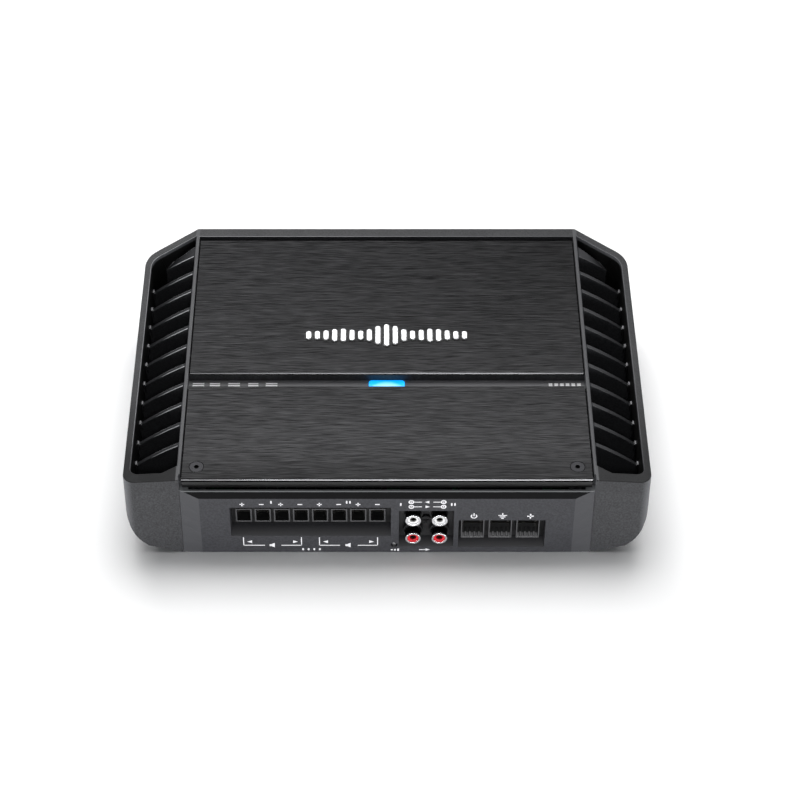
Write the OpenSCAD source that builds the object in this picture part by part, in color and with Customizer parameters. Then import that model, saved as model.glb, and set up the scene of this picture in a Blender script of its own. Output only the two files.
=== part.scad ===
// Four-channel car amplifier: a cast heatsink with finned side bays, a lift-off control cover,
// a front connector panel, and the boards, terminals and controls inside.
// Lengths are millimetres. Inside the modules Y runs back from the face of the front panel,
// and in_frame() moves the finished piece so that the origin is at the middle of the base.

/* [Body] */
// Overall width across the side rims
body_w = 276.4; // [274:0.2:280]
// Depth from the panel face to the rear rim
body_d = 203.5; // [202:0.5:208]
// Height from the base to the top of the rims and plates
body_h = 52.4; // [52:0.2:54]
// Backward lean of the end caps' front faces, in degrees
front_lean = 4; // [3:0.5:5]
// Sweep of those faces, forward towards the sides, in degrees
front_sweep = 3.5; // [2:0.5:4]
// Radius of the rounded lower side
bilge_r = 32; // [30:0.5:34]
// Width of the two top plates
plate_w = 214.9; // [213:0.1:215]
// Gap between the plates and the ribs beside them
plate_gap = 0.95; // [0.6:0.05:1.2]

/* [Fins] */
// Number of fins in each side bay
fin_count = 11; // [9:1:11]
// Distance from fin to fin
fin_pitch = 15.1; // [14.5:0.1:15.2]
// Thickness of a fin
fin_t = 2.5; // [2:0.1:3]
// Distance of the first fin behind the panel face
fin_first_y = 32.2; // [31:0.1:34]

/* [Mounting holes] */
// Distance between the left and right mounting holes
mount_x = 242; // [240:1:243]
// Distance between the front and rear mounting holes
mount_y = 154.5; // [153:0.5:155]
// Radius of a mounting hole
mount_r = 2.6; // [2.2:0.1:2.8]

/* [Front panel] */
// Height of the panel's top edge
panel_h = 45; // [44.5:0.1:45.4]
// Thickness of the panel
panel_t = 4; // [3.6:0.1:4.2]

/* [Connectors] */
// Number of speaker terminals
speaker_poles = 8; // [8]
// Distance between speaker terminals
speaker_pitch = 10.16; // [10:0.01:10.2]
// Number of power terminals
power_poles = 3; // [3]
// Distance between power terminals
power_pitch = 14.7; // [14.6:0.1:14.8]
// Distance between phono jacks, both ways
jack_pitch = 14; // [13.8:0.1:14]
// Radius of a phono jack's metal barrel
jack_r = 4.15; // [4.1:0.01:4.2]
// How far the phono barrels stand in front of the panel
jack_proud = 1.2; // [1:0.1:1.6]

/* [Controls] */
// Radius of a control knob
knob_r = 4.4; // [4:0.1:4.8]
// Distance between control knobs
knob_pitch = 22; // [20:0.5:24]

/* [Hidden] */
$fn = 48;
EPS = 0.01;
FIT = 0.05;        // radial play of a screw in its hole and of a thread
GAP = 0.15;        // play between plates and housings

half_w = body_w / 2;
front_y = -(body_d - jack_proud) / 2;

// Ledges and plates
plate_half = plate_w / 2;
rib_in = plate_half + plate_gap;
rib_out = rib_in + 1.8;
wall_in = 105;              // inner face of the side walls
top_plate_t = 1.5;
cover_t = 2;
cover_y0 = 4.4;
cover_y1 = 73.6;
skirt_z = 45.4;              // lower edge of the cover's front skirt
groove_z = body_h - 6.2;    // floor of the groove between the plates
rear_plate_y0 = 83.7;
rear_plate_y1 = 193.2;
rear_groove_y1 = 196.7;
rear_groove_z = body_h - 5.4;
deck_under_front = groove_z - 3.7;
deck_under_rear = body_h - 6.4;
rear_wall_in = 198;
step_y = 70.5;              // front face of the upstand behind the control recess
slot_half = 109;            // half-width of the slot that takes the front panel
slot_y1 = 7.8;

// Rear corners in plan
rear_flat_x = 109.6;
rear_corner_y = body_d - 24.8;
rear_corner_r = 17;
diag_a = atan2(body_d - rear_corner_y, half_w - rear_flat_x);
rim_side = 3.5;
rim_diag = 4.4;

// Front corners in plan
front_corner_r = 6;

// Rounded lower side: centre height, and the kink where it meets the sloping underside
bilge_z = 30;
kink_x = 126.8;
kink_z = 5.7;
base_half = 108.9;
bilge_a = asin((bilge_z - kink_z) / bilge_r);

// Side bays
bay_floor = 9;
bay_front_y = 8.3;
bay_front_rib_y = 14.5;
bay_front_x = 118;
bay_front_slope = 0.8;      // how far the bay's front edge comes forward towards the rim
bay_corner_r = 4;
bay_draft = 3.8;
fin_arc_r = 150;
fin_arc_c = [38.3, -81.2];
nib = [1, 3];                // width and depth of the ridge that ends each fin at the rim
nib_z = [30, 35.6];

// Base plate and boards
base_z = [0.4, 2];
board_z = [4.9, 6.5];
board_half = 103;
board_y = [10, 194];
pillar_r = 4;
side_x = 100.5;
cover_screw = [100, 13.6];
base_pillar_y = [90, 156];
board_pillar_y = [34, 58, 122, 190];
tray_pillar_count = 2;      // the first board pillars also carry the control tray
tray_z = [41.5, 43];
tray_y = [8.6, 69.8];
control_board_z = [30, 31.6];
control_board_y = [29, 67];
control_board_half = 72;

// M3 pan-head screws
m3_r = 1.4;
m3_head_r = 2.8;
m3_head_h = 2;

// Speaker terminals
speaker_x0 = -76.2;
speaker_face_y = 9.5;
speaker_sleeve_y = 7.3;
speaker_back_y = 23.5;
speaker_top_z = 33;
speaker_sleeve = [8.65, 10.1];
speaker_sleeve_z = 16.2;
speaker_wall = 0.8;
speaker_chamber_y = [14, 20.4];
speaker_chamber_z = [14.6, 30.9];
speaker_axis_y = (speaker_chamber_y[0] + speaker_chamber_y[1]) / 2;
neck_t = 0.7;               // thickness of the ledge under a clamp screw's head

// Power terminals
power_x0 = 45.6;
power_face_y = 8;
power_sleeve_y = 3;
power_back_y = 27.5;
power_top_z = 35;
power_sleeve = [12.4, 15.4];
power_sleeve_z = 8.2;
power_wall = 0.65;
power_chamber_y = [13, 24];
power_chamber_z = [7.2, 31];
power_axis_y = (power_chamber_y[0] + power_chamber_y[1]) / 2;

// Phono jacks
jack_x = [13.85, 13.85 + jack_pitch];
jack_z = [12.1, 12.1 + jack_pitch];
jack_face_y = 8;
jack_collar_y = 4.6;
jack_back_y = 20;
insulator_r = jack_r - 1.15;
insulator_recess = 0.8;     // how far the insulators stay behind the barrels' front edge
contact_y = 2.8;            // front end of the centre contacts

// Panel openings: x0, x1, z0, z1
speaker_opening = [-82.9, 2.1, 13.1, 35.3];
jack_opening = [6.3, 35.4, 4.5, 32.9];
power_opening = [37.9, 84, 4.3, 25.4];
clip_light_pos = [3.9, 5.8];
shroud_t = 1.2;
flange_t = 1.6;
flange_lap = 1;

// Controls
knob_y = 38;
knob_z = [43.5, 48.7];
shaft_r = 2;
switch_y = 58;
switch_x = [-44, 0, 44];

// Pairs of transistors along each side wall
transistor_pair_y = [75, 106, 139, 174];
transistor = [4.5, 10, 15];
transistor_z = 16;

// Badge
badge_y = 113;
badge_bars = 19;
badge_w = 91.2;
badge_h = 1;

knob_names = ["knob_front_gain", "knob_front_crossover", "knob_front_bass",
              "knob_rear_gain", "knob_rear_crossover", "knob_rear_bass"];
switch_names = ["slider_front_crossover", "slider_input_mode", "slider_rear_crossover"];
speaker_screw_names = [for (i = [1:speaker_poles]) str("speaker_clamp_screw_", i)];
speaker_cage_names = [for (i = [1:speaker_poles]) str("speaker_clamp_cage_", i)];
power_screw_names = [for (i = [1:power_poles]) str("power_clamp_screw_", i)];
power_cage_names = [for (i = [1:power_poles]) str("power_clamp_cage_", i)];

// ---------------------------------------------------------------- helpers

module in_frame() translate([0, front_y, 0]) children();

module both_sides() {
    children();
    mirror([1, 0, 0]) children();
}

// A box given by its lowest and highest corners
module box(lo, hi) translate(lo) cube(hi - lo);

// An XZ outline drawn from y0 back to y1
module along_y(y0, y1) translate([0, y1, 0]) rotate([90, 0, 0]) linear_extrude(y1 - y0) children();

// A YZ outline drawn from x0 to x1
module along_x(x0, x1) translate([x0, 0, 0]) rotate([90, 0, 90]) linear_extrude(x1 - x0) children();

// A round bar along Y
module rod_y(x, z, y0, y1, r) translate([x, y0, z]) rotate([-90, 0, 0]) cylinder(r = r, h = y1 - y0);

function arc(c, r, a0, a1, n = 10) =
    [for (i = [0:n]) let (a = a0 + (a1 - a0) * i / n) c + r * [cos(a), sin(a)]];

function mirrored(points) = [for (i = [len(points) - 1:-1:0]) [-points[i][0], points[i][1]]];

function speaker_x(i) = speaker_x0 + i * speaker_pitch;
function power_x(i) = power_x0 + i * power_pitch;
function knob_x(i) = (i - 2.5) * knob_pitch;
function fin_y(i) = fin_first_y + i * fin_pitch;

// Pan-head screw, head up, with the underside of its head at the origin
module pan_screw(length) {
    difference() {
        cylinder(r = m3_head_r, h = m3_head_h);
        for (a = [0, 90])
            rotate(a) translate([-1.6, -0.35, m3_head_h - 1]) cube([3.2, 0.7, 2]);
    }
    translate([0, 0, -length]) cylinder(r = m3_r, h = length + EPS);
}

// ---------------------------------------------------------------- casting

// Right half of the rear outline in plan, from the side rim to the middle of the rear edge
function rear_outline(x_side, inset_diag, r) =
    let (
        corner_y = rear_corner_y + (half_w - x_side) * tan(diag_a) - inset_diag / cos(diag_a),
        centre = [x_side - r, corner_y - r * tan((90 - diag_a) / 2)]
    )
    arc(centre, r, 0, 90 - diag_a);

module plan_outline() {
    right = concat([[half_w, -60]], rear_outline(half_w, 0, rear_corner_r), [[rear_flat_x, body_d]]);
    polygon(concat(right, mirrored(right)));
}

// Front outline at the base; it is extruded along the leaning direction
module front_outline() {
    sharp_y = -(half_w - slot_half) * tan(front_sweep);
    centre = [half_w - front_corner_r, sharp_y + front_corner_r * tan(45 + front_sweep / 2)];
    right = concat([[0, slot_half * tan(front_sweep)]],
                   arc(centre, front_corner_r, -90 - front_sweep, 0), [[half_w, body_d + 60]]);
    polygon(concat(right, mirrored(right)));
}

module section_outline() {
    right = concat([[base_half, 0], [kink_x, kink_z]],
                   arc([half_w - bilge_r, bilge_z], bilge_r, -bilge_a, 0), [[half_w, body_h]]);
    polygon(concat(right, mirrored(right)));
}

module outer_shape() intersection() {
    along_y(-20, body_d + 20) section_outline();
    linear_extrude(body_h + 1) plan_outline();
    rotate([-front_lean, 0, 0]) translate([0, 0, -5]) linear_extrude(body_h + 20) front_outline();
}

// Right-hand bay, seen from above and in section
module bay_plan() polygon(concat(
    [[rib_out, bay_front_rib_y], [bay_front_x, bay_front_y + bay_front_slope]],
    arc([half_w - rim_side - bay_corner_r, bay_front_y + bay_corner_r], bay_corner_r, -90, 0, 6),
    rear_outline(half_w - rim_side, rim_diag, rear_corner_r - 4),
    [[rib_out, body_d - (rib_out - rear_flat_x) * tan(diag_a) - rim_diag / cos(diag_a)]]));

module bay_section() {
    inner_r = bilge_r - rim_side;
    floor_a = asin((bilge_z - bay_floor) / inner_r);
    polygon(concat([[rib_out, body_h + 5], [rib_out, body_h], [rib_out + bay_draft, bay_floor]],
                   arc([half_w - bilge_r, bilge_z], inner_r, -floor_a, 0),
                   [[half_w - rim_side, body_h + 5]]));
}

module fin(y) along_y(y - fin_t / 2, y + fin_t / 2) intersection() {
    translate(fin_arc_c) circle(r = fin_arc_r, $fn = 180);
    translate([rib_in, 0]) square([half_w - rib_in, body_h]);
}

// The rearmost fin carries a wedge that fills the acute corner behind it
module fin_wedge() intersection() {
    y = fin_y(fin_count - 1);
    linear_extrude(body_h) polygon([[rib_in, y], [130.8, y], [rib_in, y + 8]]);
    along_y(y - 1, y + 12) intersection() {
        translate(fin_arc_c) circle(r = fin_arc_r, $fn = 180);
        translate([rib_in, 0]) square([half_w - rib_in, body_h]);
    }
}

module fin_nib(y) translate([half_w - rim_side - nib[0], y - nib[1] / 2, nib_z[0]])
    cube([nib[0] + 0.3, nib[1], nib_z[1] - nib_z[0]]);

module bay_air() difference() {
    intersection() {
        along_y(bay_front_y - 1, body_d) bay_section();
        linear_extrude(body_h + 5) bay_plan();
    }
    for (i = [0:fin_count - 1]) {
        fin(fin_y(i));
        fin_nib(fin_y(i));
    }
    fin_wedge();
}

// Space for the boards, open below and at the front
module board_space() {
    box([-wall_in, slot_y1 - EPS, -1], [wall_in, rear_wall_in, deck_under_front]);
    box([-wall_in, rear_plate_y0 + 1, deck_under_front - EPS], [wall_in, rear_wall_in, deck_under_rear]);
    box([-wall_in, slot_y1 - EPS, deck_under_front - EPS], [wall_in, step_y, body_h + 1]);
    box([-wall_in - 1.8, slot_y1 - EPS, -1], [wall_in + 1.8, rear_wall_in + 1.5, base_z[1]]);
}

// Recesses in the top for the plates, the groove between them and the groove behind
module top_recesses() {
    box([-rib_in, slot_y1 - EPS, body_h - cover_t], [rib_in, cover_y1, body_h + 1]);
    box([-rib_in, cover_y1 - EPS, groove_z], [rib_in, rear_plate_y0, body_h + 1]);
    box([-rib_in, rear_plate_y0 - EPS, body_h - top_plate_t], [rib_in, rear_plate_y1, body_h + 1]);
    box([-rib_in, rear_plate_y1 - EPS, rear_groove_z], [rib_in, rear_groove_y1, body_h + 1]);
}

module pillar(x, y, z0, z1) {
    translate([x, y, z0]) cylinder(r = pillar_r, h = z1 - z0);
    box([x, y - pillar_r + 1, z0], [wall_in + 1, y + pillar_r - 1, z1]);
}

module screw_hole(x, y, z, depth, r = m3_r + FIT) translate([x, y, z]) cylinder(r = r, h = depth);

module pillars() {
    pillar(cover_screw[0], cover_screw[1], base_z[1], body_h - cover_t);
    for (y = base_pillar_y) pillar(side_x, y, base_z[1], 20);
    for (i = [0:len(board_pillar_y) - 1])
        pillar(side_x, board_pillar_y[i], board_z[1], i < tray_pillar_count ? tray_z[0] : 20);
}

module pillar_holes() {
    screw_hole(cover_screw[0], cover_screw[1], base_z[1] - EPS, 10);
    screw_hole(cover_screw[0], cover_screw[1], body_h - cover_t - 14, 15, 2 + FIT);
    for (y = base_pillar_y) screw_hole(side_x, y, base_z[1] - EPS, 10);
    for (y = board_pillar_y) screw_hole(side_x, y, board_z[1] - EPS, 8);
    for (i = [0:tray_pillar_count - 1]) screw_hole(side_x, board_pillar_y[i], tray_z[0] - 8, 9);
    for (y = transistor_pair_y) translate([wall_in - EPS, y, 34.5]) rotate([0, 90, 0])
        cylinder(r = m3_r + FIT, h = 5);
}

module mount_positions() for (x = [-1, 1], y = [0, 1])
    translate([x * mount_x / 2, 21.1 + y * mount_y, 0]) children();

module heatsink_casting() color([0.30, 0.30, 0.32]) in_frame() difference() {
    union() {
        difference() {
            outer_shape();
            both_sides() bay_air();
            board_space();
            top_recesses();
            box([-slot_half, -20, -1], [slot_half, slot_y1, body_h + 1]);
        }
        both_sides() pillars();
        mount_positions() cylinder(r = 6.5, h = bay_floor);
    }
    both_sides() pillar_holes();
    mount_positions() translate([0, 0, -1]) cylinder(r = mount_r, h = bay_floor + 2);
    box([-9.9, cover_y1 + 0.2, groove_z - 2], [9.9, rear_plate_y0 - 0.1, groove_z + 1]);
}

// ---------------------------------------------------------------- plates and trim

module rear_top_plate() color([0.24, 0.24, 0.25]) in_frame()
    along_x(-plate_half, plate_half) polygon([
        [rear_plate_y0, body_h - top_plate_t], [rear_plate_y0, body_h - 0.9],
        [rear_plate_y0 + 0.9, body_h], [rear_plate_y1 - 0.3, body_h],
        [rear_plate_y1, body_h - 0.3], [rear_plate_y1, body_h - top_plate_t]]);

module cover_screw_positions() both_sides()
    translate([cover_screw[0], cover_screw[1], body_h - cover_t]) children();

module control_cover() color([0.24, 0.24, 0.25]) in_frame() difference() {
    union() {
        along_x(-plate_half, plate_half) polygon([
            [cover_y0, body_h - cover_t], [cover_y0, body_h - 0.9], [cover_y0 + 0.9, body_h],
            [cover_y1 - 0.3, body_h], [cover_y1, body_h - 0.3], [cover_y1, body_h - cover_t]]);
        box([-plate_half, cover_y0 + 1, skirt_z], [plate_half, cover_y0 + 3, body_h - cover_t + EPS]);
    }
    cover_screw_positions() {
        translate([0, 0, -1]) cylinder(r = 2.2, h = 4);
        translate([0, 0, -EPS]) cylinder(r1 = 2.2, r2 = 4, h = cover_t + 2 * EPS);
    }
}

module control_cover_screws() color([0.35, 0.35, 0.37]) in_frame() cover_screw_positions()
    difference() {
        union() {
            cylinder(r1 = 2.1, r2 = 3.65, h = cover_t - 0.1);
            translate([0, 0, -11]) cylinder(r = 2, h = 11 + EPS);
        }
        translate([0, 0, cover_t - 1.7]) cylinder(r = 1.45, h = 3, $fn = 6);
    }

// One bar of the badge, rounded at both ends
module badge_bar(length, width) {
    r = width / 2;
    linear_extrude(badge_h) polygon(concat(
        arc([0, length / 2 - r], r, 0, 180, 8), arc([0, r - length / 2], r, 180, 360, 8)));
}

module badge() color("silver") in_frame() {
    step = badge_w / badge_bars;
    for (i = [0:badge_bars - 1]) let (t = (i - (badge_bars - 1) / 2) / badge_bars)
        translate([(i - (badge_bars - 1) / 2) * step, badge_y, body_h])
            badge_bar(6 + 11 * pow(cos(180 * t), 2) * (0.55 + 0.45 * cos(1150 * t)), step * 0.62);
}

module status_light_pipe() color("deepskyblue") in_frame()
    translate([0, 0, groove_z - 2]) linear_extrude(2.7) polygon(concat(
        [[-9.8, cover_y1 + 0.3], [9.8, cover_y1 + 0.3]],
        arc([8, rear_plate_y0 - 2], 1.8, 0, 90, 6), arc([-8, rear_plate_y0 - 2], 1.8, 90, 180, 6)));

// ---------------------------------------------------------------- front panel

// Clears the side bevel: its inner edge is upright and its outer edge leans with the end caps
module side_bevel_cut() {
    steps = 6;
    inner_x = 98.75;
    outer_x = slot_half + 1;
    top = panel_h + 1;
    function outer_y(z) = (z * tan(front_lean) + 0.15) * (outer_x - inner_x) / (slot_half - inner_x);
    rows = [for (k = [0:steps]) let (z = -1 + (top + 1) * k / steps)
        [[inner_x, 0, z], [outer_x, max(0.05, outer_y(z)), z], [outer_x, -2, z], [inner_x, -2, z]]];
    points = [for (row = rows) for (p = row) p];
    sides = [for (k = [0:steps - 1], j = [0:3]) let (a = 4 * k + j, b = 4 * k + (j + 1) % 4)
        each [[a, b, b + 4], [a, b + 4, a + 4]]];
    last = 4 * steps;
    polyhedron(points, concat([[3, 2, 1, 0]], sides, [[last, last + 1, last + 2, last + 3]]));
}

module opening_cut(o) box([o[0], -1, o[2]], [o[1], 20, o[3]]);

module shroud(o, y1) box([o[0] - shroud_t, 1, o[2] - shroud_t], [o[1] + shroud_t, y1, o[3] + shroud_t]);

// Flange of a connector housing, closing its panel opening from behind
module flange(o, y0) box([o[0] - flange_lap, y0, o[2] - flange_lap],
                         [o[1] + flange_lap, y0 + flange_t, o[3] + flange_lap]);

module front_panel() color([0.31, 0.31, 0.33]) in_frame() difference() {
    union() {
        difference() {
            box([-slot_half + GAP, 0, 0], [slot_half - GAP, slot_y1 - GAP, panel_h]);
            box([-104.4, panel_t, -1], [104.4, 20, panel_h + 1]);
            box([-slot_half, panel_t + 0.2, -1], [slot_half, 20, base_z[1] + 0.3]);
        }
        shroud(speaker_opening, speaker_face_y - GAP);
        shroud(jack_opening, jack_face_y - GAP);
        shroud(power_opening, power_face_y - GAP);
    }
    for (o = [speaker_opening, jack_opening, power_opening]) opening_cut(o);
    along_x(-slot_half, slot_half) polygon([[-1, panel_h - 3.73], [3.2, panel_h + 0.19], [-1, panel_h + 2]]);
    both_sides() side_bevel_cut();
    rod_y(clip_light_pos[0], clip_light_pos[1], -1, 10, 1.85);
}

module clip_light() color("whitesmoke") in_frame() {
    rod_y(clip_light_pos[0], clip_light_pos[1], 2, 8.4, 1.5);
    translate([clip_light_pos[0], 2, clip_light_pos[1]]) sphere(r = 1.5);
}

// ---------------------------------------------------------------- base and main board

module base_screw_positions() both_sides() {
    translate([cover_screw[0], cover_screw[1], base_z[0]]) children();
    for (y = base_pillar_y) translate([side_x, y, base_z[0]]) children();
}

module bottom_plate() color([0.16, 0.16, 0.17]) in_frame() difference() {
    box([-106.6, panel_t + 0.3, base_z[0]], [106.6, rear_wall_in + 1.3, base_z[1]]);
    base_screw_positions() translate([0, 0, -EPS])
        cylinder(r1 = 2.95, r2 = 1.6, h = base_z[1] - base_z[0] + 2 * EPS);
}

module bottom_plate_screws() color("dimgray") in_frame() base_screw_positions() difference() {
    union() {
        cylinder(r1 = 2.8, r2 = m3_r, h = base_z[1] - base_z[0]);
        translate([0, 0, 1]) cylinder(r = m3_r, h = 9);
    }
    for (a = [0, 90]) rotate(a) translate([-1.5, -0.35, -1]) cube([3, 0.7, 1.8]);
}

module board_screw_positions() both_sides() for (y = board_pillar_y) translate([side_x, y, 0]) children();

module main_board() color("darkgreen") in_frame() difference() {
    box([-board_half, board_y[0], board_z[0]], [board_half, board_y[1], board_z[1]]);
    board_screw_positions() screw_hole(0, 0, board_z[0] - 1, 4, 1.7);
    both_sides() {
        for (y = base_pillar_y) box([side_x - 5, y - 5, 0], [wall_in, y + 5, 10]);
        box([cover_screw[0] - 5, 5, 0], [wall_in, cover_screw[1] + 5, 10]);
    }
}

module clamp_screw_positions() both_sides() for (y = transistor_pair_y)
    translate([97.3, y, 34.5]) rotate([0, -90, 0]) children();

module m3_screws() color([0.2, 0.2, 0.2]) in_frame() {
    board_screw_positions() translate([0, 0, board_z[0]]) rotate([180, 0, 0]) pan_screw(7);
    both_sides() for (i = [0:tray_pillar_count - 1])
        translate([side_x, board_pillar_y[i], tray_z[1]]) pan_screw(8);
    clamp_screw_positions() pan_screw(11);
    translate([(jack_x[0] + jack_x[1]) / 2, jack_face_y, (jack_z[0] + jack_z[1]) / 2])
        rotate([90, 0, 0]) pan_screw(8);
}

// ---------------------------------------------------------------- terminals

// Hollow of one housing cell: the wire sleeve in front, the chamber of the cage, the neck that
// holds the screw down and the well for its head. chamber is [width, [y0, y1], [z0, z1]].
module cell_air(x, sleeve, sleeve_y, sleeve_z, wall, chamber, head_r, neck_r) {
    inner = sleeve[0] / 2 - wall;
    chamber_y = chamber[1];
    chamber_z = chamber[2];
    box([x - inner, sleeve_y - 1, sleeve_z + wall],
        [x + inner, chamber_y[0] + EPS, sleeve_z + sleeve[1] - wall]);
    box([x - chamber[0] / 2, chamber_y[0], chamber_z[0]], [x + chamber[0] / 2, chamber_y[1], chamber_z[1]]);
    axis_y = (chamber_y[0] + chamber_y[1]) / 2;
    translate([x, axis_y, chamber_z[1] - 1]) cylinder(r = neck_r, h = 4);
    translate([x, axis_y, chamber_z[1] + neck_t]) cylinder(r = head_r, h = 9);
}

module speaker_terminal_block() color([0.1, 0.1, 0.1]) in_frame() difference() {
    union() {
        box([speaker_x(-0.5), speaker_face_y, board_z[1]],
            [speaker_x(speaker_poles - 0.5), speaker_back_y, speaker_top_z]);
        flange(speaker_opening, speaker_face_y);
        for (i = [0:speaker_poles - 1])
            box([speaker_x(i) - speaker_sleeve[0] / 2, speaker_sleeve_y, speaker_sleeve_z],
                [speaker_x(i) + speaker_sleeve[0] / 2, speaker_face_y + 1,
                 speaker_sleeve_z + speaker_sleeve[1]]);
    }
    for (i = [0:speaker_poles - 1]) {
        cell_air(speaker_x(i), speaker_sleeve, speaker_sleeve_y, speaker_sleeve_z, speaker_wall,
                 [7.4, speaker_chamber_y, speaker_chamber_z], 2.6, 1.6);
        box([speaker_x(i) - 2.4, 19, 22.4], [speaker_x(i) + 2.4, speaker_back_y + 1, 23.7]);
    }
}

module power_terminal_block() color([0.1, 0.1, 0.1]) in_frame() difference() {
    union() {
        box([power_x(-0.5), power_face_y, board_z[1]],
            [power_x(power_poles - 0.5), power_back_y, power_top_z]);
        flange(power_opening, power_face_y);
        for (i = [0:power_poles - 1])
            box([power_x(i) - power_sleeve[0] / 2, power_sleeve_y, power_sleeve_z],
                [power_x(i) + power_sleeve[0] / 2, power_face_y + 1, power_sleeve_z + power_sleeve[1]]);
    }
    for (i = [0:power_poles - 1]) {
        cell_air(power_x(i), power_sleeve, power_sleeve_y, power_sleeve_z, power_wall,
                 [11.4, power_chamber_y, power_chamber_z], 4.2, 2.6);
        box([power_x(i) - 4.1, 22, 18.4], [power_x(i) + 4.1, power_back_y + 1, 20.2]);
    }
}

// Flat current bars that the wires are clamped against, with their legs to the board
module terminal_contact_bars() color("goldenrod") in_frame() {
    for (i = [0:speaker_poles - 1]) {
        box([speaker_x(i) - 2.3, speaker_chamber_y[0] + 0.3, 22.6], [speaker_x(i) + 2.3, 24.6, 23.5]);
        box([speaker_x(i) - 1.2, 23.7, board_z[1]], [speaker_x(i) + 1.2, 24.6, 23]);
    }
    for (i = [0:power_poles - 1]) {
        box([power_x(i) - 4, power_chamber_y[0] + 0.4, 18.6], [power_x(i) + 4, 29, 20]);
        box([power_x(i) - 3, 27.7, board_z[1]], [power_x(i) + 3, 29, 19]);
    }
}

// Clamp screw: it turns in place and its thread lifts the cage
module clamp_screw(x, y, tip_z, seat_z, r, head_r, head_h) translate([x, y, 0]) difference() {
    union() {
        translate([0, 0, tip_z]) cylinder(r = r, h = seat_z - tip_z + EPS);
        translate([0, 0, seat_z]) cylinder(r = head_r, h = head_h);
    }
    translate([-head_r - 1, -head_r * 0.16, seat_z + head_h * 0.5])
        cube([2 * head_r + 2, head_r * 0.32, head_h]);
}

// Cage with the wire window through it and the thread in its top bar
module clamp_cage(x, y, size, z0, window_w, window_z, r) translate([x, y, 0]) difference() {
    box([-size[0] / 2, -size[1] / 2, z0], [size[0] / 2, size[1] / 2, z0 + size[2]]);
    box([-window_w / 2, -size[1], window_z[0]], [window_w / 2, size[1], window_z[1]]);
    translate([0, 0, window_z[1] - 1]) cylinder(r = r + FIT, h = 10);
}

module speaker_clamp_screw(i) color("silver") in_frame()
    clamp_screw(speaker_x(i), speaker_axis_y, 23.6, speaker_chamber_z[1] + neck_t + FIT, 1.5, 2.4, 1.8);

module speaker_clamp_cage(i) color("goldenrod") in_frame()
    clamp_cage(speaker_x(i), speaker_axis_y, [6.8, 6, 10.6], 15.4, 5.2, [17.2, 23.7], 1.5);

module power_clamp_screw(i) color("silver") in_frame()
    clamp_screw(power_x(i), power_axis_y, 20.1, power_chamber_z[1] + neck_t + FIT, 2.5, 4, 3);

module power_clamp_cage(i) color("goldenrod") in_frame()
    clamp_cage(power_x(i), power_axis_y, [10.8, 10.4, 16], 7.4, 8.6, [9.2, 20.4], 2.5);

// ---------------------------------------------------------------- phono jacks

module at_jacks(z_list) for (x = jack_x, z = z_list) translate([x, 0, z]) rotate([-90, 0, 0]) children();

module phono_jack_housing() color([0.08, 0.08, 0.08]) in_frame() difference() {
    union() {
        box([7, jack_face_y, board_z[1]], [34.7, jack_back_y, 31.5]);
        flange(jack_opening, jack_face_y);
        at_jacks(jack_z) translate([0, 0, jack_collar_y])
            cylinder(r = 5.3, h = jack_face_y - jack_collar_y + 1);
    }
    at_jacks(jack_z) {
        translate([0, 0, jack_collar_y - 1]) cylinder(r = 4.65, h = 9.4);
        translate([0, 0, 12]) cylinder(r = 2, h = 20);
    }
    rod_y((jack_x[0] + jack_x[1]) / 2, (jack_z[0] + jack_z[1]) / 2, 5, 17, m3_r + FIT);
}

module phono_jack_shells() color("silver") in_frame() at_jacks(jack_z) difference() {
    union() {
        translate([0, 0, -jack_proud]) cylinder(r = jack_r, h = jack_collar_y + jack_proud);
        translate([0, 0, jack_collar_y]) cylinder(r = 4.6, h = 8.2);
    }
    translate([0, 0, -jack_proud - 1]) cylinder(r = insulator_r + FIT, h = 30);
}

module phono_insulators(z) at_jacks([z]) difference() {
    translate([0, 0, insulator_recess - jack_proud]) cylinder(r = insulator_r, h = 12.5);
    translate([0, 0, -jack_proud - 1]) cylinder(r = 1.75, h = 30);
}

module phono_white_insulators() color("white") in_frame() phono_insulators(jack_z[1]);

module phono_red_insulators() color("red") in_frame() phono_insulators(jack_z[0]);

module phono_centre_contacts() color("gold") in_frame() at_jacks(jack_z) difference() {
    translate([0, 0, contact_y]) cylinder(r = 1.7, h = 15.7);
    translate([0, 0, contact_y - 1]) cylinder(r = 1.3, h = 9);
    translate([-0.2, -3, contact_y - 1]) cube([0.4, 6, 6]);
}

// ---------------------------------------------------------------- controls

module access_holes() {
    for (i = [0:speaker_poles - 1])
        translate([speaker_x(i), speaker_axis_y, tray_z[0] - 1]) cylinder(r = 3.1, h = 4);
    for (i = [0:power_poles - 1])
        translate([power_x(i), power_axis_y, tray_z[0] - 1]) cylinder(r = 4.9, h = 4);
}

module control_tray() color([0.14, 0.14, 0.15]) in_frame() difference() {
    union() {
        box([-wall_in + 0.2, tray_y[0], tray_z[0]], [wall_in - 0.2, tray_y[1], tray_z[1]]);
        box([-94, tray_y[0], tray_z[0]], [94, tray_y[0] + 1.2, body_h - cover_t - 0.8]);
    }
    access_holes();
    for (i = [0:5]) translate([knob_x(i), knob_y, tray_z[0] - 1]) cylinder(r = 3.4, h = 4);
    for (x = switch_x) box([x - 4, switch_y - 1.5, tray_z[0] - 1], [x + 4, switch_y + 1.5, 50]);
    both_sides() {
        for (i = [0:tray_pillar_count - 1])
            translate([side_x, board_pillar_y[i], tray_z[0] - 1]) cylinder(r = 1.7, h = 4);
        box([cover_screw[0] - 5, 0, tray_z[0] - 1], [wall_in, cover_screw[1] + 5, body_h]);
    }
}

module control_board() color("darkgreen") in_frame()
    box([-control_board_half, control_board_y[0], control_board_z[0]],
        [control_board_half, control_board_y[1], control_board_z[1]]);

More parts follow.
